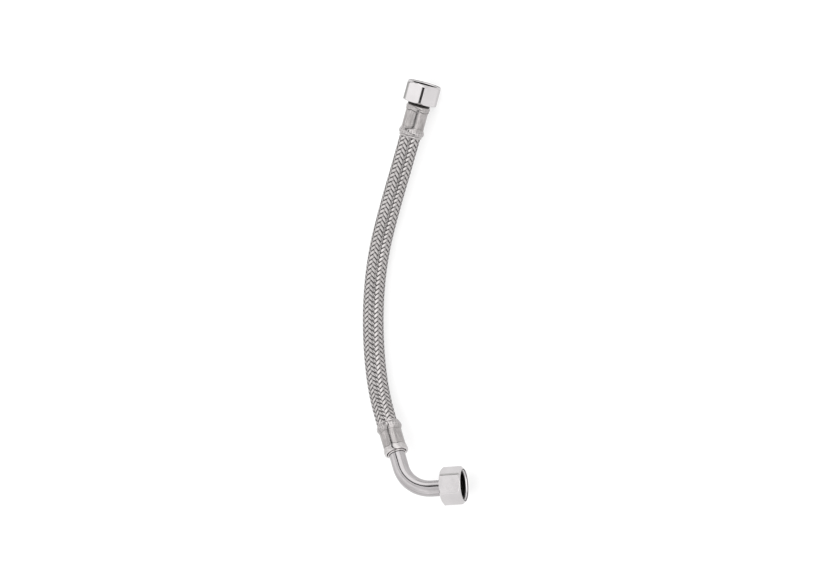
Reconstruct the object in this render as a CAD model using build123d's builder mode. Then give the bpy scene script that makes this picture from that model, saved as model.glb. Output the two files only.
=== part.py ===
"""Braided supply line: a short stainless braided hose between a straight and an elbow union-nut end.

Frame, in millimetres: origin on the axis of the straight end's thread, where the thread meets the
gasket. +Y points out of that mouth, +Z points up, and the line lies on the plane z = -flats / 2.
Every fitting is drawn on a plane of its own, whose z axis runs along the fitting.
"""

from build123d import *
import math
import os

# Union nuts, G 1/2
FLATS = 24.0
CORNER_FLAT = 0.4
THREAD_R = 9.3
CAVITY_R = 9.9
NUT_HOLE_R = 7.05
MOUTH_CHAMFER = 0.8
MOUTH_OPENING_R = 11.2
MOUTH_CORNER_CHAMFER = 1.5
BACK_CORNER_CHAMFER = 1.0
SHOULDER = 1.8
CAVITY = 5.7
STRAIGHT_THREAD = 5.8
ELBOW_THREAD = 7.2
CUT_MARGIN = 1.0

# Sealing end: flange or collar held in the nut, and the gasket in front of it
COLLAR_R = 8.6
COLLAR_BACK = -4.9
COLLAR_FACE = -3.5
GASKET_R = 9.6
GASKET_HOLE_R = 5.5
GASKET_BACK = -2.3
GASKET_FACE = -0.3

# Ferrule, along its axis from its open end (0) to its hose end
FERRULE = 24.0
WALL = 0.8
LIP = 1.0
LIP_HOLE_R = 7.0
FLARE_R = 8.6
CRIMP_R = 8.0
BELL_R = 9.0
MOUTH_R = 8.0
FLARE_END = 3.2
CRIMP_START = 5.2
CRIMP_END = 17.3
BELL_CROWN = 20.5
BELL_HOLLOW_START = 19.7
BELL_HOLLOW_END = 21.5
BELL_LEAN = -0.6

# Stop bead behind the ferrule's lip
BEAD_R = 6.5
BEAD_FLANGE_R = 7.3
BEAD_FRONT = -0.5
BEAD_STEP = 1.2
BEAD_BACK = 2.2

# Hose
HOSE_R = 7.5
CRIMPED_R = 7.0
BRAID = 0.6
LINER_HOLE_R = 5.1
JACKET_GAP = 0.05
HOSE_START = 2.5
CONE_START = 17.5
CONE_END = 18.7

# Shanks that the hose is crimped on
SHANK_R = 5.0
SHANK_END = 20.5
SHANK_CHAMFER = 0.6
SHANK_LEAD = 1.0
GROOVE_R = 4.55
GROOVE = 1.2
GROOVES = (6.0, 9.0, 12.0, 15.0)

# Straight tail, whose dark flange fills the gap in front of its ferrule
NECK_R = 5.6
TAIL_BORE_R = 3.8
FLANGE_R = 7.9
FLANGE_FRONT = -0.2
FLANGE_BACK = 0.75
STRAIGHT_LIP = 0.8
TAIL_BEAD_STEP = 1.9
STRAIGHT_FERRULE_Y = -8.8

# Elbow tube: a bent tube whose two straight legs meet at this corner
TUBE_R = 5.75
TUBE_BORE_R = 4.75
SHANK_BORE_R = 4.0
BEND_R = 24.0
ELBOW_CORNER = Vector(79.63, -268.33, 10.95)
OUTLET_HEADING = 22.0
OUTLET_PITCH = -15.6
INLET_HEADING = -46.0
INLET_PITCH = 12.9
NUT_BACK_FROM_CORNER = 25.6
FERRULE_FROM_CORNER = 29.5
NECK_FILL = 0.2
NECK_FILL_LENGTH = 1.0

# The elbow's nut is loose on its tube: it lies to one side of it, turned a little
NUT_OFFSET = 1.0
NUT_TURN = -7.0

# The hose's route: the points where its straight runs would meet. It leaves each ferrule along
# that ferrule's axis, so its first and last corners are distances from the ferrules' open ends.
FIRST_CORNER = 37.2
LAST_CORNER = 33.1
ROUTE = (
    (-3.0, -86, -3.6),
    (-2.6, -122, -4.5),
    (5.3, -160, -4.5),
    (19.2, -197.2, -4.5),
)
ARC_SHARE = 0.45


def direction(heading, pitch):
    """Unit vector at a heading from +X towards +Y and a pitch up from the table, in degrees."""
    level = math.cos(math.radians(pitch))
    return Vector(
        level * math.cos(math.radians(heading)),
        level * math.sin(math.radians(heading)),
        math.sin(math.radians(pitch)),
    )


OUTLET = direction(OUTLET_HEADING, OUTLET_PITCH)
INLET = direction(INLET_HEADING, INLET_PITCH)
NUT_BACK = -CAVITY - SHOULDER

straight_seat = Plane(origin=(0, 0, 0), x_dir=(1, 0, 0), z_dir=(0, 1, 0))
straight_crimp = Plane(origin=(0, STRAIGHT_FERRULE_Y, 0), x_dir=(1, 0, 0), z_dir=(0, -1, 0))
ELBOW_SIDE = direction(OUTLET_HEADING - 90, 0)
elbow_outlet = Plane(
    origin=ELBOW_CORNER + OUTLET * (NUT_BACK_FROM_CORNER - NUT_BACK),
    x_dir=ELBOW_SIDE,
    z_dir=OUTLET,
)
elbow_seat = Plane(
    origin=elbow_outlet.origin - ELBOW_SIDE * NUT_OFFSET,
    x_dir=ELBOW_SIDE.rotate(Axis((0, 0, 0), OUTLET), NUT_TURN),
    z_dir=OUTLET,
)
elbow_crimp = Plane(
    origin=ELBOW_CORNER - INLET * FERRULE_FROM_CORNER,
    x_dir=direction(INLET_HEADING - 90, 0),
    z_dir=-INLET,
)


def half_section(plane):
    """The plane of a profile drawn as (radius, position along the fitting)."""
    return Plane(origin=plane.origin, x_dir=plane.x_dir, z_dir=-plane.y_dir)


def turned(plane, outline):
    """Solid of revolution about a fitting's axis, from its (radius, position) outline."""
    with BuildPart() as ring:
        with BuildSketch(half_section(plane)):
            with BuildLine():
                Polyline(*outline, close=True)
            make_face()
        revolve(axis=Axis(plane.origin, plane.z_dir))
    return ring.part


def finish(part, name):
    """Labels a piece and writes it to its own file."""
    part.label = name
    export_step(part, f"parts/{name}.step")
    return part


def union_nut(plane, thread, name):
    """Hexagonal union nut: chamfered corners, thread wall, gasket cavity and back shoulder."""
    mouth = thread + MOUTH_CHAMFER
    half = FLATS / 2
    corner = half / math.cos(math.pi / 6)
    with BuildPart() as nut:
        with BuildSketch(plane.offset(NUT_BACK)):
            hexagon = RegularPolygon(half, 6, major_radius=False)
            chamfer(hexagon.vertices(), length=CORNER_FLAT)
        extrude(amount=mouth - NUT_BACK)
        with BuildSketch(half_section(plane)):
            with BuildLine():
                Polyline(
                    (0, NUT_BACK),
                    (half, NUT_BACK),
                    (corner, NUT_BACK + BACK_CORNER_CHAMFER),
                    (corner, mouth - MOUTH_CORNER_CHAMFER),
                    (half, mouth),
                    (0, mouth),
                    close=True,
                )
            make_face()
        revolve(axis=Axis(plane.origin, plane.z_dir), mode=Mode.INTERSECT)
        with BuildSketch(half_section(plane)):
            with BuildLine():
                Polyline(
                    (0, NUT_BACK - CUT_MARGIN),
                    (NUT_HOLE_R, NUT_BACK - CUT_MARGIN),
                    (NUT_HOLE_R, -CAVITY),
                    (CAVITY_R, -CAVITY),
                    (CAVITY_R, 0),
                    (THREAD_R, 0),
                    (THREAD_R, thread),
                    (MOUTH_OPENING_R, mouth),
                    (MOUTH_OPENING_R, mouth + CUT_MARGIN),
                    (0, mouth + CUT_MARGIN),
                    close=True,
                )
            make_face()
        revolve(axis=Axis(plane.origin, plane.z_dir), mode=Mode.SUBTRACT)
    return finish(nut.part, name)


def gasket(plane, name):
    """Flat rubber ring, kept in the nut's cavity."""
    outline = (
        (GASKET_HOLE_R, GASKET_BACK),
        (GASKET_R, GASKET_BACK),
        (GASKET_R, GASKET_FACE),
        (GASKET_HOLE_R, GASKET_FACE),
    )
    return finish(turned(plane, outline), name)


def ferrule(plane, name, start=0.0):
    """Crimped sleeve: folded lip and flare, crimped middle, and a bell over the hose."""
    folded = start + LIP
    with BuildPart() as sleeve:
        with BuildSketch(half_section(plane)):
            with BuildLine():
                Line((LIP_HOLE_R, folded), (LIP_HOLE_R, start))
                Line((LIP_HOLE_R, start), (FLARE_R - LIP, start))
                RadiusArc((FLARE_R - LIP, start), (FLARE_R, folded), -LIP)
                Line((FLARE_R, folded), (FLARE_R, FLARE_END))
                Spline(
                    (FLARE_R, FLARE_END),
                    (CRIMP_R, CRIMP_START),
                    tangents=((0, 1), (0, 1)),
                )
                Line((CRIMP_R, CRIMP_START), (CRIMP_R, CRIMP_END))
                Spline(
                    (CRIMP_R, CRIMP_END),
                    (BELL_R, BELL_CROWN),
                    (MOUTH_R + WALL / 2, FERRULE),
                    tangents=((0, 1), (BELL_LEAN, 1)),
                )
                Line((MOUTH_R + WALL / 2, FERRULE), (MOUTH_R, FERRULE))
                Polyline(
                    (MOUTH_R, FERRULE),
                    (BELL_R - WALL, BELL_HOLLOW_END),
                    (BELL_R - WALL, BELL_HOLLOW_START),
                    (CRIMP_R - WALL, CRIMP_END),
                    (CRIMP_R - WALL, CRIMP_START),
                    (FLARE_R - WALL, FLARE_END),
                    (FLARE_R - WALL, folded),
                    (LIP_HOLE_R, folded),
                )
            make_face()
        revolve(axis=Axis(plane.origin, plane.z_dir))
    return finish(sleeve.part, name)


def bead_outline(inner_r):
    """Outline of the stop bead, a stepped ring around inner_r."""
    return (
        (inner_r, BEAD_FRONT),
        (BEAD_R, BEAD_FRONT),
        (BEAD_R, BEAD_STEP),
        (BEAD_FLANGE_R, BEAD_STEP),
        (BEAD_FLANGE_R, BEAD_BACK),
        (inner_r, BEAD_BACK),
    )


def shank_outline(bore_r, start):
    """Outline of a grooved shank, from start to its end inside the hose."""
    points = [(bore_r, start), (SHANK_R, start)]
    for groove in GROOVES:
        points.append((SHANK_R, groove))
        points.append((GROOVE_R, groove + GROOVE / 2))
        points.append((SHANK_R, groove + GROOVE))
    points.append((SHANK_R, SHANK_END - SHANK_LEAD))
    points.append((SHANK_R - SHANK_CHAMFER, SHANK_END))
    points.append((bore_r, SHANK_END))
    return points


def straight_tail():
    """Turned tail: collar, neck, flange, stop bead and grooved shank, bored through."""
    collar_face = STRAIGHT_FERRULE_Y - COLLAR_FACE
    collar_back = STRAIGHT_FERRULE_Y - COLLAR_BACK
    body = [
        (TAIL_BORE_R, collar_face),
        (COLLAR_R, collar_face),
        (COLLAR_R, collar_back),
        (NECK_R, collar_back),
        (NECK_R, FLANGE_FRONT),
        (FLANGE_R, FLANGE_FRONT),
        (FLANGE_R, FLANGE_BACK),
        (BEAD_R, FLANGE_BACK),
        (BEAD_R, TAIL_BEAD_STEP),
        (BEAD_FLANGE_R, TAIL_BEAD_STEP),
        (BEAD_FLANGE_R, BEAD_BACK),
        *shank_outline(TAIL_BORE_R, BEAD_BACK)[1:],
    ]
    return finish(turned(straight_crimp, body), "straight_tail")


def elbow_tube():
    """Bent stainless tube: swaged, grooved shank at the hose, plain end in the nut."""
    start = elbow_crimp.origin + elbow_crimp.z_dir * BEAD_BACK
    end = elbow_outlet.origin + elbow_outlet.z_dir * COLLAR_FACE
    shank = turned(elbow_crimp, shank_outline(SHANK_BORE_R, BEAD_BACK))
    with BuildPart() as tube:
        with BuildLine() as bend:
            FilletPolyline(start, ELBOW_CORNER, end, radius=BEND_R)
        with BuildSketch(Plane(origin=start, z_dir=INLET)):
            Circle(TUBE_R)
            Circle(TUBE_BORE_R, mode=Mode.SUBTRACT)
        sweep(path=bend.wire())
        with BuildSketch(half_section(elbow_crimp)):
            with BuildLine():
                Polyline(
                    (SHANK_BORE_R, BEAD_BACK),
                    (TUBE_BORE_R + NECK_FILL, BEAD_BACK),
                    (TUBE_BORE_R + NECK_FILL, BEAD_BACK - NECK_FILL_LENGTH),
                    (TUBE_BORE_R, BEAD_BACK - NECK_FILL_LENGTH),
                    close=True,
                )
            make_face()
        revolve(axis=Axis(elbow_crimp.origin, elbow_crimp.z_dir))
        add(shank)
    return finish(tube.part, "elbow_tube")


def elbow_collar():
    """Ring brazed on the tube's end, which the union nut pulls against the gasket."""
    outline = (
        (TUBE_R, COLLAR_BACK),
        (COLLAR_R, COLLAR_BACK),
        (COLLAR_R, COLLAR_FACE),
        (TUBE_R, COLLAR_FACE),
    )
    return finish(turned(elbow_outlet, outline), "elbow_seat_collar")


def hose_path():
    """Straight runs joined by tangent arcs, each as large as its two runs allow."""
    points = [
        straight_crimp.origin + straight_crimp.z_dir * HOSE_START,
        straight_crimp.origin + straight_crimp.z_dir * FIRST_CORNER,
        *(Vector(*point) for point in ROUTE),
        elbow_crimp.origin + elbow_crimp.z_dir * LAST_CORNER,
        elbow_crimp.origin + elbow_crimp.z_dir * HOSE_START,
    ]
    radii = []
    for before, here, after in zip(points, points[1:], points[2:]):
        half_turn = math.radians((here - before).get_angle(after - here)) / 2
        run = min((here - before).length, (after - here).length)
        radii.append(ARC_SHARE * run / math.tan(half_turn))
    print("hose radii", [round(radius) for radius in radii])
    print("hose route", [[round(value, 2) for value in point] for point in points])
    start, end = (plane.origin + plane.z_dir * CONE_END for plane in (straight_crimp, elbow_crimp))
    with BuildLine() as path:
        FilletPolyline(start, *points[1:-1], end, radius=radii)
    return path.wire()


def hose_layer(path, inner_r, outer_r, crimped_in, crimped_out, name):
    """One layer of the hose: swept along the route, and squeezed inside both ferrules."""
    end_outline = (
        (crimped_in, HOSE_START),
        (crimped_out, HOSE_START),
        (crimped_out, CONE_START),
        (outer_r, CONE_END),
        (inner_r, CONE_END),
        (crimped_in, CONE_START),
    )
    ends = [turned(plane, end_outline) for plane in (straight_crimp, elbow_crimp)]
    with BuildPart() as layer:
        with BuildSketch(Plane(origin=path @ 0, z_dir=path % 0)):
            Circle(outer_r)
            Circle(inner_r, mode=Mode.SUBTRACT)
        sweep(path=path)
        swept = layer.part.volume
        for end in ends:
            add(end)
    section = math.pi * (outer_r**2 - inner_r**2)
    print(name, "swept volume", round(swept), "section x length", round(section * path.length))
    return finish(layer.part, name)


os.makedirs("parts", exist_ok=True)

union_nut(straight_seat, STRAIGHT_THREAD, "straight_nut")
gasket(straight_seat, "straight_gasket")
straight_tail()
ferrule(straight_crimp, "straight_ferrule", STRAIGHT_LIP)

route = hose_path()
hose_layer(
    route,
    LINER_HOLE_R,
    HOSE_R - BRAID - JACKET_GAP,
    LINER_HOLE_R,
    CRIMPED_R - BRAID - JACKET_GAP,
    "hose_liner",
)
hose_layer(route, HOSE_R - BRAID, HOSE_R, CRIMPED_R - BRAID, CRIMPED_R, "hose_braid")
print("hose length", round(route.length + 2 * (CONE_END - HOSE_START), 1))

ferrule(elbow_crimp, "elbow_ferrule")
finish(turned(elbow_crimp, bead_outline(TUBE_R)), "elbow_stop_ring")
elbow_tube()
elbow_collar()
gasket(elbow_seat, "elbow_gasket")
union_nut(elbow_seat, ELBOW_THREAD, "elbow_nut")

for name, seat in (("straight", straight_seat), ("elbow", elbow_seat)):
    print(name, "thread at", seat.origin, "axis", seat.z_dir)
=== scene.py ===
"""Looks of the braided supply line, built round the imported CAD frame. Lengths here are in
millimetres, and MM turns them into Blender's metres."""

import math
import random

import bpy
import numpy as np
from mathutils import Matrix, Vector


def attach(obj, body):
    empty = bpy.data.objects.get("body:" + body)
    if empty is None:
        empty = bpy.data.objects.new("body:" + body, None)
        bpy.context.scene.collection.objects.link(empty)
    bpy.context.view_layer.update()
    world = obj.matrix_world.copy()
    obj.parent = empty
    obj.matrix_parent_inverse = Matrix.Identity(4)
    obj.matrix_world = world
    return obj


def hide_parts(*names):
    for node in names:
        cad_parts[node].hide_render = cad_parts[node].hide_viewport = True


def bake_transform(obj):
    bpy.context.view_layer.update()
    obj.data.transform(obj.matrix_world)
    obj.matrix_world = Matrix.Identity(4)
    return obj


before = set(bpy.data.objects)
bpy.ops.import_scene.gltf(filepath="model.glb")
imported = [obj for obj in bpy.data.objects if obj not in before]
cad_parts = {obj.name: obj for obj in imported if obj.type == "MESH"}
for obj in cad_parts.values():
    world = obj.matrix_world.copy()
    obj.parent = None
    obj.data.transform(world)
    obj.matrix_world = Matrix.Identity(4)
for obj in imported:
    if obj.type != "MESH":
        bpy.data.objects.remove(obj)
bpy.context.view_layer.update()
MM = 0.001

# ---------------------------------------------------------------- driving dimensions, mm
FLATS = 24.0
THREAD_R = 9.3
THREAD_DEPTH = 1.1
THREAD_PITCH = 25.4 / 14
CAVITY_R = 9.9
CAVITY = 5.7
SHOULDER = 1.8
NUT_HOLE_R = 7.05
MOUTH_CHAMFER = 0.8
STRAIGHT_THREAD = 5.8
ELBOW_THREAD = 7.2
NUT_BACK = -CAVITY - SHOULDER

COLLAR_R = 8.6
COLLAR_BACK = -4.9
COLLAR_FACE = -3.5
GASKET_R = 9.6
GASKET_HOLE_R = 5.5
GASKET_BACK = -2.3
GASKET_FACE = -0.3

LIP_HOLE_R = 7.0
CRIMP_R = 7.98
BELL_R = 9.0
BELL_MOUTH_R = 7.72
CRIMP_JAWS = 8

BEAD_R = 6.5
BEAD_FLANGE_R = 7.3
BEAD_FRONT = -0.5
BEAD_STEP = 1.2
BEAD_BACK = 2.2
BEAD_PROUD = 0.35

SHANK_R = 5.0
SHANK_END = 20.5
GROOVE_R = 4.55
GROOVE = 1.2
GROOVES = (6.0, 9.0, 12.0, 15.0)
NECK_R = 5.6
TAIL_BORE_R = 3.8
# The tail's flange is as wide as the ferrule's mouth, which its near-black fills as painted shade
FLANGE_R = 7.9
FLANGE_FRONT = -0.2
FLANGE_BACK = 0.75
STRAIGHT_LIP = 0.8
TAIL_BEAD_STEP = 1.9
STRAIGHT_FERRULE_Y = -8.8

TUBE_R = 5.75
TUBE_BORE_R = 4.75
SHANK_BORE_R = 4.0
BEND_R = 24.0
ELBOW_CORNER = Vector((79.63, -268.33, 10.95))
OUTLET_HEADING, OUTLET_PITCH = 22.0, -15.6
INLET_HEADING, INLET_PITCH = -46.0, 12.9
NUT_BACK_FROM_CORNER = 25.6
FERRULE_FROM_CORNER = 29.5
NUT_OFFSET = 1.0
NUT_TURN = -7.0

LINER_R = 6.7
LINER_HOLE_R = 5.1
# The route's corners, as in the CAD source, but the last but one stands 1.9 mm further out, so
# that the smooth line leaves the elbow's ferrule through the middle of its bell.
ROUTE = (
    (0, -11.3, 0),
    (0, -46, 0),
    (-3.0, -86, -3.6),
    (-2.6, -122, -4.5),
    (5.3, -160, -4.5),
    (19.2, -197.2, -4.5),
    (35.9, -225.7, -3.63),
    (57.96, -245.89, 3.81),
)

FLOOR_Z = -FLATS / 2


# ---------------------------------------------------------------- places and mesh helpers
def direction(heading, pitch):
    """Unit vector at a heading from +X towards +Y and a pitch up from the table, in degrees."""
    level = math.cos(math.radians(pitch))
    return Vector(
        (
            level * math.cos(math.radians(heading)),
            level * math.sin(math.radians(heading)),
            math.sin(math.radians(pitch)),
        )
    )


def placed(origin, x_dir, z_dir):
    """Matrix that takes a fitting's own (x, y, along) in mm to the row frame in mm."""
    z = Vector(z_dir).normalized()
    x = Vector(x_dir).normalized()
    y = z.cross(x)
    matrix = Matrix((x, y, z)).transposed().to_4x4()
    matrix.translation = Vector(origin)
    return matrix


OUTLET = direction(OUTLET_HEADING, OUTLET_PITCH)
INLET = direction(INLET_HEADING, INLET_PITCH)
straight_seat = placed((0, 0, 0), (1, 0, 0), (0, 1, 0))
straight_crimp = placed((0, STRAIGHT_FERRULE_Y, 0), (1, 0, 0), (0, -1, 0))
ELBOW_SIDE = direction(OUTLET_HEADING - 90, 0)
OUTLET_END = ELBOW_CORNER + OUTLET * (NUT_BACK_FROM_CORNER - NUT_BACK)
elbow_outlet = placed(OUTLET_END, ELBOW_SIDE, OUTLET)
turned_side = Matrix.Rotation(math.radians(NUT_TURN), 3, OUTLET) @ ELBOW_SIDE
elbow_seat = placed(OUTLET_END - ELBOW_SIDE * NUT_OFFSET, turned_side, OUTLET)
elbow_crimp = placed(
    ELBOW_CORNER - INLET * FERRULE_FROM_CORNER, direction(INLET_HEADING - 90, 0), -INLET
)


def to_mesh(name, points, faces, sharp=35):
    """Mesh object from points in mm in the row frame, smooth but for edges over sharp degrees."""
    mesh = bpy.data.meshes.new(name)
    mesh.from_pydata((np.asarray(points, float) * MM).tolist(), [], faces)
    mesh.validate()
    mesh.update()
    mesh.polygons.foreach_set("use_smooth", [True] * len(mesh.polygons))
    mesh.set_sharp_from_angle(angle=math.radians(sharp))
    obj = bpy.data.objects.new(name, mesh)
    bpy.context.scene.collection.objects.link(obj)
    return obj


def add_lay(obj, values):
    """Stores each point's place on its own fitting, (side, lift, along) in mm, for the grain."""
    attribute = obj.data.attributes.new("lay", "FLOAT_VECTOR", "POINT")
    attribute.data.foreach_set("vector", np.asarray(values, np.float32).ravel())
    return obj


def add_shade(obj, name, values):
    """Stores a number for each point, which a material reads to darken or lighten it."""
    attribute = obj.data.attributes.new(name, "FLOAT", "POINT")
    attribute.data.foreach_set("value", np.asarray(values, np.float32).ravel())
    return obj


def loop_faces(rows, columns):
    """Quads of a grid whose rows and columns both close on themselves."""
    faces = []
    for i in range(rows):
        a, b = i * columns, (i + 1) % rows * columns
        for j in range(columns):
            k = (j + 1) % columns
            faces.append((a + j, a + k, b + k, b + j))
    return faces


def rounded(outline, radius, steps=4):
    """The closed outline of (r, along) points with each corner rounded, as far as it has room."""
    out = []
    count = len(outline)
    for i in range(count):
        here = Vector(outline[i])
        before = Vector(outline[i - 1]) - here
        after = Vector(outline[(i + 1) % count]) - here
        cut = min(radius, 0.45 * before.length, 0.45 * after.length)
        a, b = here + before.normalized() * cut, here + after.normalized() * cut
        for step in range(steps + 1):
            t = step / steps
            out.append((1 - t) ** 2 * a + 2 * t * (1 - t) * here + t**2 * b)
    return out


def lathe(name, place, outline, radius=0.15, columns=96, sharp=35):
    """Solid of revolution of a closed (r, along) outline with rounded corners."""
    profile = rounded(outline, radius)
    local = []
    for p in profile:
        for j in range(columns):
            angle = 2 * math.pi * j / columns
            local.append(Vector((p.x * math.cos(angle), p.x * math.sin(angle), p.y)))
    faces = loop_faces(len(profile), columns)
    return add_lay(to_mesh(name, [place @ v for v in local], faces, sharp), local)


def joined(name, objects):
    """One object made from several."""
    bpy.ops.object.select_all(action="DESELECT")
    for obj in objects:
        obj.select_set(True)
    bpy.context.view_layer.objects.active = objects[0]
    bpy.ops.object.join()
    objects[0].name = name
    objects[0].data.name = name
    return objects[0]


# ---------------------------------------------------------------- camera
VIEW_RIGHT = Vector((0.8240, 0.2622, -0.5017))
VIEW_UP = Vector((-0.2971, 0.9543, 0.0108))
VIEW_BACK = VIEW_RIGHT.cross(VIEW_UP).normalized()
LENS = 197.0
CAMERA_DISTANCE = 3200.0
VIEW_CENTRE = VIEW_RIGHT * -5.1 + VIEW_UP * -140.6


def add_camera():
    """A long lens far above the table, which flattens the line as a catalogue picture does."""
    data = bpy.data.cameras.new("camera")
    data.lens = LENS
    data.sensor_width = 36.0
    data.clip_start = 0.05
    camera = bpy.data.objects.new("camera", data)
    up = VIEW_BACK.cross(VIEW_RIGHT).normalized()
    matrix = Matrix((up.cross(VIEW_BACK), up, VIEW_BACK)).transposed().to_4x4()
    matrix.translation = (VIEW_CENTRE + VIEW_BACK * CAMERA_DISTANCE) * MM
    camera.matrix_world = matrix
    bpy.context.scene.collection.objects.link(camera)
    bpy.context.scene.camera = camera


add_camera()


# ---------------------------------------------------------------- materials
TABLE_GLOW = 0.62
# Polished metal with painted highlight: the lighter colour of the flares, folded lips, bells and the
# tube's bead
POLISH_AND_HIGHLIGHT = (0.60, 0.576, 0.576)
# Painted shade on the nuts' corner flats
CORNER_SHADE_COLOUR = (0.30, 0.295, 0.29)
# Painted shade: the colour that the steel's grooves, fold lines and the tube's ring are darkened
# towards, and how far at most
PAINTED_SHADE_COLOUR = (0.03, 0.028, 0.026)
DEEPEST_PAINTED_SHADE = 0.85
CLOUD_SHARE = 0.35


def new_material(name, color, metallic, roughness):
    material = bpy.data.materials.new(name)
    material.use_nodes = True
    shader = material.node_tree.nodes["Principled BSDF"]
    shader.inputs["Base Color"].default_value = (*color, 1)
    shader.inputs["Metallic"].default_value = metallic
    shader.inputs["Roughness"].default_value = roughness
    return material, material.node_tree.nodes, material.node_tree.links, shader


def noise(nodes, links, scale, detail):
    """Noise over the object's own coordinates."""
    coords = nodes.new("ShaderNodeTexCoord")
    texture = nodes.new("ShaderNodeTexNoise")
    texture.inputs["Scale"].default_value = scale
    texture.inputs["Detail"].default_value = detail
    links.new(coords.outputs["Object"], texture.inputs["Vector"])
    return texture.outputs["Fac"]


def stored(nodes, name, output="Fac"):
    """What add_shade() or add_lay() stored on the points under that name."""
    node = nodes.new("ShaderNodeAttribute")
    node.attribute_name = name
    return node.outputs[output]


def ranged(nodes, links, value, low, high, from_low=0.3, from_high=0.7):
    """A value between low and high, by where value lies between from_low and from_high."""
    node = nodes.new("ShaderNodeMapRange")
    node.inputs["From Min"].default_value = from_low
    node.inputs["From Max"].default_value = from_high
    node.inputs["To Min"].default_value = low
    node.inputs["To Max"].default_value = high
    links.new(value, node.inputs["Value"])
    return node.outputs["Result"]


def tinted(nodes, links, factor, first, second):
    """A colour between first, a colour or a node's output, and the colour second, by factor."""
    mix = nodes.new("ShaderNodeMix")
    mix.data_type = "RGBA"
    if isinstance(first, tuple):
        mix.inputs["A"].default_value = (*first, 1)
    else:
        links.new(first, mix.inputs["A"])
    mix.inputs["B"].default_value = (*second, 1)
    links.new(factor, mix.inputs["Factor"])
    return mix.outputs["Result"]


def bumped(nodes, links, shader, height, strength, distance):
    """Gives the shader small bumps from height. distance is in metres."""
    bump = nodes.new("ShaderNodeBump")
    bump.inputs["Strength"].default_value = strength
    bump.inputs["Distance"].default_value = distance
    links.new(height, bump.inputs["Height"])
    links.new(bump.outputs["Normal"], shader.inputs["Normal"])


def plated_nut_material():
    """Polished chrome plate with faint handling marks and a slight waviness, and painted shade on the
    corner flats.
    """
    material, nodes, links, shader = new_material("polished_plate", (0.56, 0.56, 0.56), 1.0, 0.12)
    smear = noise(nodes, links, 260, 4)
    links.new(ranged(nodes, links, smear, 0.10, 0.18), shader.inputs["Roughness"])
    cloud = ranged(nodes, links, noise(nodes, links, 90, 2), 0, 1)
    clean = tinted(nodes, links, cloud, (0.52, 0.502, 0.506), (0.57, 0.55, 0.555))
    corner_shaded = tinted(nodes, links, stored(nodes, "corner_shade"), clean, CORNER_SHADE_COLOUR)
    links.new(corner_shaded, shader.inputs["Base Color"])
    bumped(nodes, links, shader, noise(nodes, links, 1400, 2), 0.06, 0.00005)
    return material


def satin_steel_material(name, dark, light, low_rough, high_rough, brush, strength):
    """Drawn stainless steel: streaks that follow the piece, and cloudy changes of tone, lightened by
    painted highlight and darkened by painted shade where a piece stores them.
    """
    material, nodes, links, shader = new_material(name, light, 1.0, 0.3)
    mapping = nodes.new("ShaderNodeMapping")
    mapping.inputs["Scale"].default_value = brush
    links.new(stored(nodes, "lay", "Vector"), mapping.inputs["Vector"])
    streak = nodes.new("ShaderNodeTexNoise")
    streak.inputs["Scale"].default_value = 1.0
    streak.inputs["Detail"].default_value = 3.0
    links.new(mapping.outputs["Vector"], streak.inputs["Vector"])
    cloud = noise(nodes, links, 160, 3)
    links.new(ranged(nodes, links, cloud, low_rough, high_rough), shader.inputs["Roughness"])
    tone = nodes.new("ShaderNodeMath")
    tone.operation = "MULTIPLY_ADD"
    tone.inputs[1].default_value = CLOUD_SHARE
    links.new(ranged(nodes, links, cloud, 0, 1), tone.inputs[0])
    links.new(ranged(nodes, links, streak.outputs["Fac"], 0, 1 - CLOUD_SHARE), tone.inputs[2])
    clean = tinted(nodes, links, tone.outputs[0], dark, light)
    bright = tinted(nodes, links, stored(nodes, "polish_and_highlight"), clean, POLISH_AND_HIGHLIGHT)
    painted_dark = ranged(nodes, links, stored(nodes, "painted_shade"), 0, DEEPEST_PAINTED_SHADE, 0, 1)
    links.new(tinted(nodes, links, painted_dark, bright, PAINTED_SHADE_COLOUR), shader.inputs["Base Color"])
    bumped(nodes, links, shader, streak.outputs["Fac"], strength, 0.00005)
    return material


def braid_material():
    """Stainless wire with painted shade: bright on the top of each strand, dark between its wires, at
    its edges, underneath and where it dips under.
    """
    material, nodes, links, shader = new_material("braid_wire", (0.7, 0.7, 0.69), 1.0, 0.28)
    mixed = nodes.new("ShaderNodeMath")
    mixed.operation = "MULTIPLY"
    links.new(stored(nodes, "painted_light"), mixed.inputs[0])
    links.new(stored(nodes, "tone"), mixed.inputs[1])
    colour = tinted(nodes, links, mixed.outputs[0], (0.004, 0.0037, 0.0035), (0.53, 0.505, 0.50))
    links.new(colour, shader.inputs["Base Color"])
    grain = noise(nodes, links, 2400, 2)
    links.new(ranged(nodes, links, grain, 0.14, 0.24), shader.inputs["Roughness"])
    bumped(nodes, links, shader, grain, 0.10, 0.00003)
    return material


def raw_shaded_bore_material():
    """Unplated thread inside a nut, dull and a little uneven, made near-black as painted shade in the
    bore.
    """
    material, nodes, links, shader = new_material("raw_shaded_bore", (0.05, 0.046, 0.043), 1.0, 0.4)
    stain = noise(nodes, links, 520, 3)
    spread = ranged(nodes, links, stain, 0, 1)
    colour = tinted(nodes, links, spread, (0.008, 0.0075, 0.007), (0.04, 0.037, 0.035))
    links.new(colour, shader.inputs["Base Color"])
    links.new(ranged(nodes, links, stain, 0.4, 0.55), shader.inputs["Roughness"])
    bumped(nodes, links, shader, noise(nodes, links, 2600, 2), 0.2, 0.00004)
    return material


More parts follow.
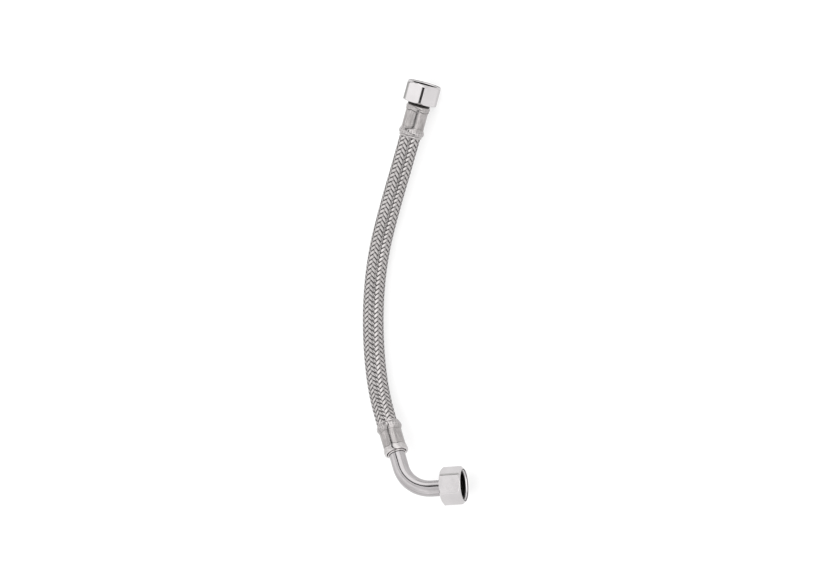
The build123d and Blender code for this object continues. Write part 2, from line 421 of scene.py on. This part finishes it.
def rubber_material(name, dark, light):
    """Black rubber with a fine moulded grain and a little bloom."""
    material, nodes, links, shader = new_material(name, dark, 0.0, 0.7)
    bloom = noise(nodes, links, 420, 3)
    colour = tinted(nodes, links, ranged(nodes, links, bloom, 0, 1), dark, light)
    links.new(colour, shader.inputs["Base Color"])
    links.new(ranged(nodes, links, bloom, 0.6, 0.85), shader.inputs["Roughness"])
    bumped(nodes, links, shader, noise(nodes, links, 5200, 2), 0.25, 0.00004)
    return material


def floor_material():
    """Plain white light table, very slightly uneven, that glows a little through its top."""
    material, nodes, links, shader = new_material("table_white", (0.42, 0.42, 0.42), 0.0, 0.85)
    patch = ranged(nodes, links, noise(nodes, links, 6, 2), 0, 1)
    colour = tinted(nodes, links, patch, (0.41, 0.41, 0.41), (0.44, 0.44, 0.44))
    links.new(colour, shader.inputs["Base Color"])
    shader.inputs["Emission Color"].default_value = (1, 1, 1, 1)
    shader.inputs["Emission Strength"].default_value = TABLE_GLOW
    return material


# Fineness of the grain per mm across a piece, across it again and along it: streaks, then rings
AXIAL = (3.4, 3.4, 0.25)
ROUND = (0.3, 0.3, 3.5)
PLATE = plated_nut_material()
RAW_SHADED_BORE = raw_shaded_bore_material()
FERRULE_STEEL = satin_steel_material(
    "ferrule_satin", (0.205, 0.194, 0.191), (0.49, 0.465, 0.46), 0.12, 0.19, AXIAL, 0.6
)
TUBE_STEEL = satin_steel_material(
    "tube_satin", (0.36, 0.345, 0.35), (0.45, 0.432, 0.438), 0.10, 0.16, AXIAL, 0.12
)
# The tail is near-black: painted shade in the gap between the nut and its ferrule
TAIL_SHADED_METAL = satin_steel_material(
    "tail_painted_shade", (0.02, 0.019, 0.018), (0.05, 0.047, 0.044), 0.35, 0.5, ROUND, 0.3
)
BRAID = braid_material()
GASKET_RUBBER = rubber_material("gasket_black", (0.012, 0.012, 0.012), (0.03, 0.03, 0.03))
LINER_RUBBER = rubber_material("liner_black", (0.010, 0.010, 0.011), (0.02, 0.02, 0.021))


def dressed(obj, material, body=None, replaces=()):
    """Gives a piece its material and its body, and hides the CAD nodes it stands for."""
    obj.data.materials.clear()
    obj.data.materials.append(material)
    if body:
        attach(obj, body)
    if replaces:
        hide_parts(*replaces)
    return obj


# ---------------------------------------------------------------- hose
STRAND_PAIRS = 12
CHEVRON_PITCH = 3.4
STRAND_WIDTH = 1.93
STRAND_DRIFT = 0.05
DRIFT_LENGTH = 9
BRAID_TURN = -0.35
STRAND_THICKNESS = 0.26
WIRES = 8
WIRE_GROOVE = 0.045
CROWN = 0.09
WEAVE_R = 7.15
WEAVE_LIFT = 0.17
WEAVE_STEEPNESS = 2.4
STRAND_STEP = 0.7
HOSE_INSET = 0.4
CRIMPED_LENGTH = 15.0
CRIMP_TAPER = 1.2
CRIMP_SQUEEZE = 0.45
# Painted shade: how much darker a strand is between its wires, at its edges, underneath and where it
# dips
GROOVE_SHADE = 0.15
EDGE_SHADE = 0.85
UNDERSIDE = 0.1
DIP_SHADE = 0.44
STRAND_TONES = (0.9, 1.0)


def hose_line():
    """Points of the route's smooth line, read from a NURBS spline through Blender."""
    curve = bpy.data.curves.new("route", "CURVE")
    curve.dimensions = "3D"
    curve.resolution_u = 40
    spline = curve.splines.new("NURBS")
    spline.points.add(len(ROUTE) - 1)
    for point, place in zip(spline.points, ROUTE):
        point.co = (*(Vector(place) * MM), 1)
    spline.order_u = 3
    spline.use_endpoint_u = True
    carrier = bpy.data.objects.new("route", curve)
    bpy.context.scene.collection.objects.link(carrier)
    bpy.context.view_layer.update()
    mesh = bpy.data.meshes.new_from_object(carrier)
    line = np.array([v.co for v in mesh.vertices], float) / MM
    bpy.data.objects.remove(carrier)
    return line


class Rail:
    """A line with its length along it and a pair of side directions that never twist."""

    def __init__(self, line):
        self.line = line
        steps = np.linalg.norm(np.diff(line, axis=0), axis=1)
        self.at = np.concatenate([[0], np.cumsum(steps)])
        tangent = np.gradient(line, self.at, axis=0)
        tangent /= np.linalg.norm(tangent, axis=1)[:, None]
        side = np.cross(tangent[0], (0, 0, 1.0))
        sides = []
        for t in tangent:
            side = side - (side @ t) * t
            side = side / np.linalg.norm(side)
            sides.append(side)
        self.side = np.array(sides)
        self.lift = np.cross(self.side, tangent)

    def sample(self, table, along):
        return np.stack([np.interp(along, self.at, table[:, k]) for k in range(3)], -1)

    def points(self, along, angle, radius):
        """Points at a length along the line, an angle round it and a distance from it."""
        side, lift = self.sample(self.side, along), self.sample(self.lift, along)
        out = np.cos(angle)[..., None] * side + np.sin(angle)[..., None] * lift
        return self.sample(self.line, along) + radius[..., None] * out


def weave(phase):
    """1 where a strand runs over two others, -1 where it runs under two, smooth between."""
    wave = np.cos(2 * np.pi * (phase - 0.5) / 4)
    return np.tanh(WEAVE_STEEPNESS * wave) / math.tanh(WEAVE_STEEPNESS)


def squeezed(rail, along):
    """How much the ferrules press the hose in at a length along it."""
    inside = np.minimum(along, rail.at[-1] - along)
    return CRIMP_SQUEEZE * np.clip(1 - (inside - CRIMPED_LENGTH) / CRIMP_TAPER, 0, 1)


def strand_section():
    """(across, out, painted shade) of one ribbon of wires: ridges on top, flat underneath."""
    across = np.linspace(-0.5, 0.5, 2 * WIRES + 1) * STRAND_WIDTH
    ridge = np.where(np.arange(2 * WIRES + 1) % 2 == 1, 0.0, -WIRE_GROOVE)
    ridge[0] = ridge[-1] = -1.4 * WIRE_GROOVE
    from_middle = np.abs(2 * across / STRAND_WIDTH)
    top = STRAND_THICKNESS / 2 + ridge - CROWN * from_middle**2
    shade = 1 + GROOVE_SHADE * ridge / WIRE_GROOVE - EDGE_SHADE * from_middle**8
    across = np.concatenate([across, [STRAND_WIDTH / 2, -STRAND_WIDTH / 2]])
    out = np.concatenate([top, [-STRAND_THICKNESS / 2 - CROWN] * 2])
    shade = np.concatenate([shade, [UNDERSIDE] * 2])
    return across, out, np.clip(shade, 0, 1)


def braid_half(rail, hand, name, seed):
    """The twelve strands that wind one way. hand is 1 or -1."""
    along = np.arange(HOSE_INSET, rail.at[-1] - HOSE_INSET, STRAND_STEP)
    across, out, shade = strand_section()
    spacing = 2 * math.pi * WEAVE_R / STRAND_PAIRS
    slope = math.atan2(spacing, CHEVRON_PITCH)
    rng = random.Random(seed)
    points, painted_lights, tones, faces = [], [], [], []
    size = len(across)
    for strand in range(STRAND_PAIRS):
        drift = STRAND_DRIFT * math.sin(rng.uniform(0, 6.28))
        drift = drift * np.sin(along / DRIFT_LENGTH + rng.uniform(0, 6.28))
        round_mm = (strand + hand * along / CHEVRON_PITCH) * spacing + drift
        x = round_mm[:, None] + across[None, :] * math.cos(slope)
        y = along[:, None] - hand * across[None, :] * math.sin(slope)
        other = x / spacing + hand * y / CHEVRON_PITCH
        over = hand * weave(strand + other)
        radius = WEAVE_R - squeezed(rail, y) + WEAVE_LIFT * over + out[None, :]
        points.append(rail.points(y, x / WEAVE_R + BRAID_TURN, radius).reshape(-1, 3))
        # Painted shade where the strand dips under the others
        painted_light = shade[None, :] * (1 - DIP_SHADE + DIP_SHADE * over)
        painted_lights.append(np.clip(painted_light, 0, 1).ravel())
        tones.append(np.full(x.size, rng.uniform(*STRAND_TONES)))
        base = strand * len(along) * size
        for i in range(len(along) - 1):
            a, b = base + i * size, base + (i + 1) * size
            for j in range(size):
                k = (j + 1) % size
                quad = (a + j, b + j, b + k, a + k)
                faces.append(quad if hand > 0 else (quad[0], *quad[:0:-1]))
        for end in (base, base + (len(along) - 1) * size):
            faces.append([end + j for j in range(size)])
    obj = to_mesh(name, np.concatenate(points), faces, sharp=60)
    add_shade(obj, "tone", np.concatenate(tones))
    return add_shade(obj, "painted_light", np.concatenate(painted_lights))


def liner(rail):
    """The rubber tube under the braid, squeezed inside the ferrules."""
    along = np.linspace(HOSE_INSET, rail.at[-1] - HOSE_INSET, 160)
    outer = LINER_R - squeezed(rail, along)
    columns = 48
    angle = 2 * np.pi * np.arange(columns) / columns
    rows = []
    for way, radius in ((1, outer), (-1, np.full_like(outer, LINER_HOLE_R))):
        grid_y, grid_a = np.meshgrid(along[::way], angle, indexing="ij")
        grid_r = np.repeat(radius[::way][:, None], columns, 1)
        rows.append(rail.points(grid_y, grid_a, grid_r).reshape(-1, 3))
    return to_mesh("hose_rubber", np.concatenate(rows), loop_faces(2 * len(along), columns))


rail = Rail(hose_line())
wires_right = braid_half(rail, 1, "braid_right_hand", 3)
wires_left = braid_half(rail, -1, "braid_left_hand", 5)
hose_rubber = liner(rail)
dressed(wires_right, BRAID, replaces=["hose_braid"])
dressed(wires_left, BRAID, replaces=["hose_braid"])
dressed(hose_rubber, LINER_RUBBER, replaces=["hose_liner"])
for piece in (wires_right, wires_left, hose_rubber):
    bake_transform(piece)


# ---------------------------------------------------------------- ferrules
COLUMNS = 240
# Where a crimp mark begins and ends between its corners, and how much later and sooner at them
MARK_START, MARK_START_SWING = 3.75, 0.8
MARK_END, MARK_END_SWING = 16.7, 0.5
# Painted shade along the far end of each crimp mark
MARK_SHADE = 0.35
PRESSED = 0.13
BRIM = 0.08
# The braid shows through the bell as two sets of low ridges that cross
PRINTS = 13
PRINT_LEAN = 1.9
PRINT = 0.12
# A painted dark reflection of the braid in the troughs between the ridges
PRINT_SHADE = 0.55
# Painted highlight on the bell from here on, and a line of painted shade along its fold; the folded
# lip is lightened as polished metal with painted highlight
BELL_START = 17.5
BELL_HIGHLIGHT = 0.35
BELL_FOLD = 22.25
BELL_FOLD_SHADE = 0.5
LIP_HIGHLIGHT = 0.9


def hill(t):
    """1 at t = 0, falling off smoothly to each side."""
    return math.exp(-(t**2))


def smooth(t):
    """0 up to t = 0, 1 from t = 1, and an even curve between."""
    t = np.clip(t, 0, 1)
    return t * t * (3 - 2 * t)


def ferrule_profile(start):
    """(r, along) points of the outside, from the lip that begins at start, and of the inside."""
    lip = [
        (LIP_HOLE_R, start + 0.6), (LIP_HOLE_R + 0.02, start + 0.3), (LIP_HOLE_R + 0.14, start + 0.08),
        (LIP_HOLE_R + 0.34, start), (7.75, start - 0.02), (8.02, start + 0.03), (8.24, start + 0.16),
        (8.42, start + 0.38), (8.54, start + 0.66), (8.61, start + 1.0), (8.65, start + 1.35),
        (8.64, 0.4 * start + 2.0), (8.58, 0.2 * start + 2.4), (8.48, 2.85),
    ]
    body = [(8.42 - 0.05 * (s - 3.2), s) for s in np.arange(3.2, 5.5, 0.09)]
    body += [(CRIMP_R, s) for s in np.linspace(5.9, 15.6, 14)]
    body += [(CRIMP_R, s) for s in np.arange(15.8, 16.5, 0.14)]
    body += [
        (CRIMP_R, 16.5), (8.0, 17.0), (8.08, 17.5), (8.28, 18.0), (8.54, 18.5), (8.76, 19.0),
        (8.92, 19.5), (BELL_R, 20.0), (9.03, 20.4), (8.98, 20.8), (8.87, 21.15), (8.70, 21.5),
        (8.48, 21.8), (8.22, 22.05), (8.02, 22.2), (7.98, 22.32), (8.03, 22.5), (8.12, 22.7),
        (8.16, 22.95), (8.15, 23.2), (8.08, 23.42), (7.95, 23.56), (7.82, 23.58),
        (BELL_MOUTH_R, 23.5), (BELL_MOUTH_R, 23.3),
    ]
    inner = [
        (7.74, 22.2), (8.2, 21.2), (8.3, 19.9), (7.75, 18.4), (7.22, 17.2), (7.2, 5.2), (7.7, 3.6),
        (7.78, start + 1.1),
    ]
    return lip + body, inner


def ferrule_skin(r, along, angle, start, flare_highlight):
    """Radius, painted shade and painted highlight of a point of the outside, pressed by the jaws and
    by the braid.
    """
    jaw = abs(math.sin(CRIMP_JAWS * angle / 2))
    near = MARK_START + MARK_START_SWING * jaw
    far = MARK_END - MARK_END_SWING * jaw
    grip = smooth((along - near) / 0.3) * smooth((far - along) / 0.7)
    edge = hill((along - near - 0.3) / 0.22)
    pressed = CRIMP_R + PRESSED * (1 - jaw**0.5) - 0.04 - BRIM * edge
    lean = PRINT_LEAN * along
    print_at = smooth((along - 18.2) / 0.8) * smooth((22.3 - along) / 0.5)
    printed = print_at * math.cos(PRINTS * angle + lean) * math.cos(PRINTS * angle - lean)
    radius = r + (pressed - r) * grip + PRINT * printed
    # Painted shade in the groove at each mark's start and along its far end, a painted dark reflection
    # of the braid in the ridges' troughs, and painted shade along the bell's fold
    painted_dark = edge + MARK_SHADE * hill((along - far) / 0.35)
    painted_dark += PRINT_SHADE * max(0.0, -printed) + BELL_FOLD_SHADE * hill((along - BELL_FOLD) / 0.22)
    # The flare and the folded lip are lighter as polished metal with painted highlight, and the bell
    # gets painted highlight
    flared = 1 - smooth((along - near) / 0.3)
    folded = 1 - smooth((along - start - 0.3) / 0.3)
    highlight = max(flare_highlight * flared, LIP_HIGHLIGHT * folded)
    highlight += BELL_HIGHLIGHT * smooth((along - BELL_START) / 1.5)
    return radius, painted_dark, highlight


def ferrule(name, place, start, flare_highlight):
    """Pressed sleeve: folded lip and flare, eight crimp marks, and a rolled bell over the hose."""
    outside, inside = ferrule_profile(start)
    local, painted_shade, polish_and_highlight = [], [], []
    for i, (r, along) in enumerate(outside + inside):
        for j in range(COLUMNS):
            angle = 2 * math.pi * j / COLUMNS
            radius, painted_dark, highlight = r, 0.0, 0.0
            if i < len(outside):
                radius, painted_dark, highlight = ferrule_skin(r, along, angle, start, flare_highlight)
            local.append(Vector((radius * math.cos(angle), radius * math.sin(angle), along)))
            painted_shade.append(painted_dark)
            polish_and_highlight.append(highlight)
    faces = loop_faces(len(outside) + len(inside), COLUMNS)
    sleeve = to_mesh(name, [place @ v for v in local], faces, sharp=50)
    add_shade(sleeve, "painted_shade", painted_shade)
    return add_shade(add_lay(sleeve, local), "polish_and_highlight", polish_and_highlight)


for end, crimp, start, flare_highlight in (
    ("straight", straight_crimp, STRAIGHT_LIP, 0.05),
    ("elbow", elbow_crimp, 0.0, 0.45),
):
    dressed(
        ferrule(f"{end}_sleeve", crimp, start, flare_highlight),
        FERRULE_STEEL, f"{end}_end", [f"{end}_ferrule"],
    )


# ---------------------------------------------------------------- tail, tube, rings
# A ring of painted shade on the tube beside the ferrule, this far along the tube, and a darkening
# towards the nut that fades out this far from it
RING_START, RING_END, RING_SHADE = 3.0, 3.5, 0.9
NUT_SHADE_START, NUT_SHADE_WIDTH, NUT_SHADE = 6, 8, 0.14


def elbow_bead():
    """The ring round the tube in the mouth of its ferrule, lightened all over as polished metal with
    painted highlight.
    """
    front = BEAD_FRONT - BEAD_PROUD
    outline = [
        (TUBE_R, front), (BEAD_R, front), (BEAD_R, BEAD_STEP),
        (BEAD_FLANGE_R, BEAD_STEP), (BEAD_FLANGE_R, BEAD_BACK), (TUBE_R, BEAD_BACK),
    ]
    bead = lathe("elbow_bead_ring", elbow_crimp, outline, 0.38)
    return add_shade(bead, "polish_and_highlight", [1.0] * len(bead.data.vertices))


def shank(bore_r, start):
    """(r, along) outline of a grooved shank from start to its tapered end."""
    points = [(bore_r, start), (SHANK_R, start)]
    for groove in GROOVES:
        points += [(SHANK_R, groove), (GROOVE_R, groove + GROOVE / 2), (SHANK_R, groove + GROOVE)]
    return points + [(SHANK_R, SHANK_END - 1), (SHANK_R - 0.6, SHANK_END), (bore_r, SHANK_END)]


def straight_tail():
    """Turned tail: collar, neck, flange, stop bead and grooved shank, bored through."""
    face = STRAIGHT_FERRULE_Y - COLLAR_FACE
    back = STRAIGHT_FERRULE_Y - COLLAR_BACK
    outline = [
        (TAIL_BORE_R, face), (COLLAR_R, face), (COLLAR_R, back),
        (NECK_R, back), (NECK_R, FLANGE_FRONT), (FLANGE_R, FLANGE_FRONT), (FLANGE_R, FLANGE_BACK),
        (BEAD_R, FLANGE_BACK), (BEAD_R, TAIL_BEAD_STEP),
        (BEAD_FLANGE_R, TAIL_BEAD_STEP), (BEAD_FLANGE_R, BEAD_BACK),
    ]
    outline += shank(TAIL_BORE_R, BEAD_BACK)[1:]
    return lathe("straight_tail_turned", straight_crimp, outline, 0.2)


def elbow_pipe():
    """The bent tube: a straight leg, one arc and a second straight leg, with its wall."""
    start = elbow_crimp @ Vector((0, 0, BEAD_BACK))
    end = elbow_outlet @ Vector((0, 0, COLLAR_FACE))
    turn = INLET.angle(OUTLET)
    leg = BEND_R * math.tan(turn / 2)
    arc_start, arc_end = ELBOW_CORNER - INLET * leg, ELBOW_CORNER + OUTLET * leg
    normal = INLET.cross(OUTLET).normalized()
    stations = [(start + INLET * t, INLET) for t in (0, 0.2, 2.9, 3.02, 3.2, 3.45, 3.6, 5.0, 8.0)]
    towards = normal.cross(INLET)
    centre = arc_start + towards * BEND_R
    for step in range(41):
        spin = Matrix.Rotation(turn * step / 40, 3, normal)
        stations.append((centre + spin @ (arc_start - centre), spin @ INLET))
    stations += [(arc_end.lerp(end, t), OUTLET) for t in (0.5, 0.97, 1)]
    columns = 72
    points, lay, painted_shade = [], [], []
    for radius, row in ((TUBE_R, stations), (TUBE_BORE_R, stations[::-1])):
        for place, tangent in row:
            side = normal.cross(tangent)
            for j in range(columns):
                angle = 2 * math.pi * j / columns
                points.append(place + radius * (math.cos(angle) * side + math.sin(angle) * normal))
                along = (place - start).length
                lay.append((radius * math.cos(angle), radius * math.sin(angle), along))
                from_nut = ((place - end).length - NUT_SHADE_START) / NUT_SHADE_WIDTH
                ringed = RING_SHADE * (RING_START < along < RING_END)
                painted_shade.append(ringed + NUT_SHADE * (1 - smooth(from_nut)))
    pipe = to_mesh("elbow_pipe", points, loop_faces(2 * len(stations), columns))
    add_lay(pipe, lay)
    add_shade(pipe, "painted_shade", painted_shade)
    inner = lathe("elbow_shank", elbow_crimp, shank(SHANK_BORE_R, BEAD_BACK), 0.2)
    return joined("elbow_pipe", [pipe, inner])


def ring(name, place, inner_r, outer_r, low, high, radius):
    """A flat ring between two radii and two heights, with rounded edges."""
    outline = [(inner_r, low), (outer_r, low), (outer_r, high), (inner_r, high)]
    return lathe(name, place, outline, radius)


dressed(straight_tail(), TAIL_SHADED_METAL, "straight_end", ["straight_tail"])
dressed(elbow_pipe(), TUBE_STEEL, "elbow_end", ["elbow_tube"])
dressed(
    ring("elbow_collar_ring", elbow_outlet, TUBE_R, COLLAR_R, COLLAR_BACK, COLLAR_FACE, 0.25),
    TUBE_STEEL, "elbow_end", ["elbow_seat_collar"],
)
dressed(elbow_bead(), FERRULE_STEEL, "elbow_end", ["elbow_stop_ring"])
for end, seat in (("straight", straight_seat), ("elbow", elbow_seat)):
    dressed(
        ring(f"{end}_washer", seat, GASKET_HOLE_R, GASKET_R, GASKET_BACK, GASKET_FACE, 0.35),
        GASKET_RUBBER, f"{end}_seal", [f"{end}_gasket"],
    )


# ---------------------------------------------------------------- union nuts
# Painted shade on the corner flats: full on this corner, this share on the others
SHADED_CORNER = 4
OTHER_CORNER_SHADE = 0.15
EDGE_ROUND = 0.22
LONGEST_BARE_EDGE = 1.5
MOUTH_BORE_R = 11.3
MOUTH_FACE_R = 11.75
MOUTH_SLOPE = 0.95
BACK_FACE_R = 11.9
BACK_SLOPE = 0.6
FACE_EDGE = 0.16
BORE_FIRST_ROW = 15
OUTER_ROWS = (4, 9)
# Each nut's place, the length of its thread, the width of its corner flats, the depth of its
# mouth's rim, and the depth at which its thread begins
NUTS = {
    "straight": (straight_seat, STRAIGHT_THREAD, 2.1, 0.3, 0.95),
    "elbow": (elbow_seat, ELBOW_THREAD, 1.1, 0.55, 1.5),
}


def nut_outline(corner_flat):
    """(angle, radius) round a hexagon whose corners are narrow flats with soft edges."""
    half = FLATS / 2
    corner = half / math.cos(math.pi / 6) - corner_flat / 2 / math.tan(math.pi / 3)
    swing = math.atan2(corner_flat / 2, corner)
    reach = math.hypot(corner_flat / 2, corner)
    sharp = []
    for k in range(6):
        for side in (-swing, swing):
            angle = k * math.pi / 3 + side
            sharp.append((reach * math.cos(angle), reach * math.sin(angle)))
    soft = rounded(sharp, EDGE_ROUND, 3)
    out = []
    for here, after in zip(soft, soft[1:] + soft[:1]):
        gap = (after - here).length
        out.append(here)
        if gap > LONGEST_BARE_EDGE:
            near = 0.1 / gap
            steps = [near, *np.linspace(0.08, 0.92, 11), 1 - near]
            out += [here.lerp(after, t) for t in steps]
    return [(math.atan2(p.y, p.x) % (2 * math.pi), p.length) for p in out]


def union_nut(name, place, thread, corner_flat, rim, lead):
    """Chamfered hexagon with a real helical internal thread, gasket cavity and back shoulder."""
    mouth = thread + MOUTH_CHAMFER
    outline = nut_outline(corner_flat)
    thread_rows = np.arange(0.12, mouth - lead - 0.05, THREAD_PITCH / 14)
    columns = []
    for angle, flat in outline:
        face_r = min(MOUTH_FACE_R, flat - FACE_EDGE)
        back_r = min(BACK_FACE_R, flat - FACE_EDGE)
        top = mouth - FACE_EDGE - max(0, flat - MOUTH_FACE_R) * MOUTH_SLOPE
        low = NUT_BACK + FACE_EDGE + max(0, flat - BACK_FACE_R) * BACK_SLOPE
        rows = [
            (MOUTH_BORE_R + 0.1, mouth),
            (face_r - 0.12, mouth), (face_r, mouth), (face_r + 0.07, mouth - 0.04),
            (flat - 0.04, top + 0.06), (flat, top - 0.02), (flat, top - 0.14),
            (flat, low + 0.14), (flat, low + 0.02), (flat - 0.04, low - 0.06),
            (back_r + 0.07, NUT_BACK + 0.04), (back_r, NUT_BACK), (back_r - 0.12, NUT_BACK),
            (NUT_HOLE_R + 0.3, NUT_BACK), (NUT_HOLE_R, NUT_BACK + 0.3),
            (NUT_HOLE_R, -CAVITY), (CAVITY_R, -CAVITY), (CAVITY_R, -0.2), (CAVITY_R - 0.1, 0.0),
        ]
        for z in thread_rows:
            turn = (z / THREAD_PITCH - angle / (2 * math.pi)) % 1
            groove = min(1.0, max(0.0, 1.6 * (1 - abs(2 * turn - 1)) - 0.3))
            rows.append((THREAD_R + THREAD_DEPTH * groove * min(1.0, z), z))
        rows.append((THREAD_R + 1.2, mouth - lead))
        rows.append((MOUTH_BORE_R - 0.12, mouth - rim))
        rows.append((MOUTH_BORE_R, mouth - 0.07))
        columns.append(rows)
    reach = max(radius for _, radius in outline)
    points, corner_shade = [], []
    for i in range(len(columns[0])):
        for (angle, flat), rows in zip(outline, columns):
            r, z = rows[i]
            points.append(place @ Vector((r * math.cos(angle), r * math.sin(angle), z)))
            # Painted shade on the corner flats, between the outer rows
            on_corner = flat > reach - 0.12 and OUTER_ROWS[0] <= i <= OUTER_ROWS[1]
            corner = round(angle / (math.pi / 3)) % 6
            corner_shade.append((1.0 if corner == SHADED_CORNER else OTHER_CORNER_SHADE) * on_corner)
    nut = to_mesh(name, points, loop_faces(len(columns[0]), len(outline)), sharp=24)
    return add_shade(nut, "corner_shade", corner_shade)


def leave_bore_raw_and_shaded(nut, sides):
    """Takes the plate off the thread and off the band of the mouth's rim, leaving them near-black as
    painted shade.
    """
    nut.data.materials.append(RAW_SHADED_BORE)
    rows = len(nut.data.polygons) // sides
    shaded_rows = [*range(BORE_FIRST_ROW, rows - 3), rows - 2]
    for i, polygon in enumerate(nut.data.polygons):
        polygon.material_index = int(i // sides in shaded_rows)


for end, (seat, thread, flat, rim, lead) in NUTS.items():
    nut = union_nut(f"{end}_union_nut", seat, thread, flat, rim, lead)
    dressed(nut, PLATE, f"{end}_union", [f"{end}_nut"])
    leave_bore_raw_and_shaded(nut, len(nut_outline(flat)))


# ---------------------------------------------------------------- floor and light
TABLE_HALF = 4000.0
# The tent's brightness by its place across the slot, from -1 to 1
SLOT_NORMAL = VIEW_RIGHT * 0.89 + VIEW_UP * 0.50
TENT_PEAK = 2.0
TENT_RAMP = (
    (-1.0, 1.2), (-0.72, 1.6), (-0.60, 1.3), (-0.45, 1.15), (-0.35, 1.4), (-0.25, 1.38),
    (-0.215, 0.0), (-0.07, 0.0), (-0.025, 1.2), (0.12, 1.85), (0.60, 1.8), (1.0, 1.2),
)
# Low walls are this share as bright as the top, and brighten between these heights
WALL_SHARE = 0.72
WALL_FROM, WALL_TO = 0.12, 0.30


def add_floor():
    """The table top that the line lies on."""
    mesh = bpy.data.meshes.new("table_top")
    ends = [(-1, -1), (1, -1), (1, 1), (-1, 1)]
    corners = [(x * TABLE_HALF * MM, y * TABLE_HALF * MM, FLOOR_Z * MM) for x, y in ends]
    mesh.from_pydata(corners, [], [(0, 1, 2, 3)])
    floor = bpy.data.objects.new("table_top", mesh)
    bpy.context.scene.collection.objects.link(floor)
    floor.data.materials.append(floor_material())


def add_world():
    """A light tent: bright sheets overhead, with a dark slot between them."""
    world = bpy.data.worlds.new("tent")
    bpy.context.scene.world = world
    world.use_nodes = True
    nodes, links = world.node_tree.nodes, world.node_tree.links
    background = nodes["Background"]
    coords = nodes.new("ShaderNodeTexCoord")
    across = nodes.new("ShaderNodeVectorMath")
    across.operation = "DOT_PRODUCT"
    across.inputs[1].default_value = SLOT_NORMAL.normalized()
    links.new(coords.outputs["Generated"], across.inputs[0])
    place = ranged(nodes, links, across.outputs["Value"], 0, 1, -1, 1)
    ramp = nodes.new("ShaderNodeValToRGB")
    elements = ramp.color_ramp.elements
    for i, (at, level) in enumerate(TENT_RAMP):
        element = elements[i] if i < 2 else elements.new(1.0)
        element.position = (at + 1) / 2
        element.color = (level / TENT_PEAK, level / TENT_PEAK, level / TENT_PEAK, 1)
    links.new(place, ramp.inputs["Fac"])
    height = nodes.new("ShaderNodeSeparateXYZ")
    links.new(coords.outputs["Generated"], height.inputs[0])
    overhead = ranged(nodes, links, height.outputs["Z"], 0, 1, WALL_FROM, WALL_TO)
    level = ranged(nodes, links, overhead, TENT_PEAK * WALL_SHARE, TENT_PEAK, 0, 1)
    links.new(ramp.outputs["Color"], background.inputs["Color"])
    links.new(level, background.inputs["Strength"])


add_floor()
add_world()
bpy.context.scene.view_settings.view_transform = "Standard"
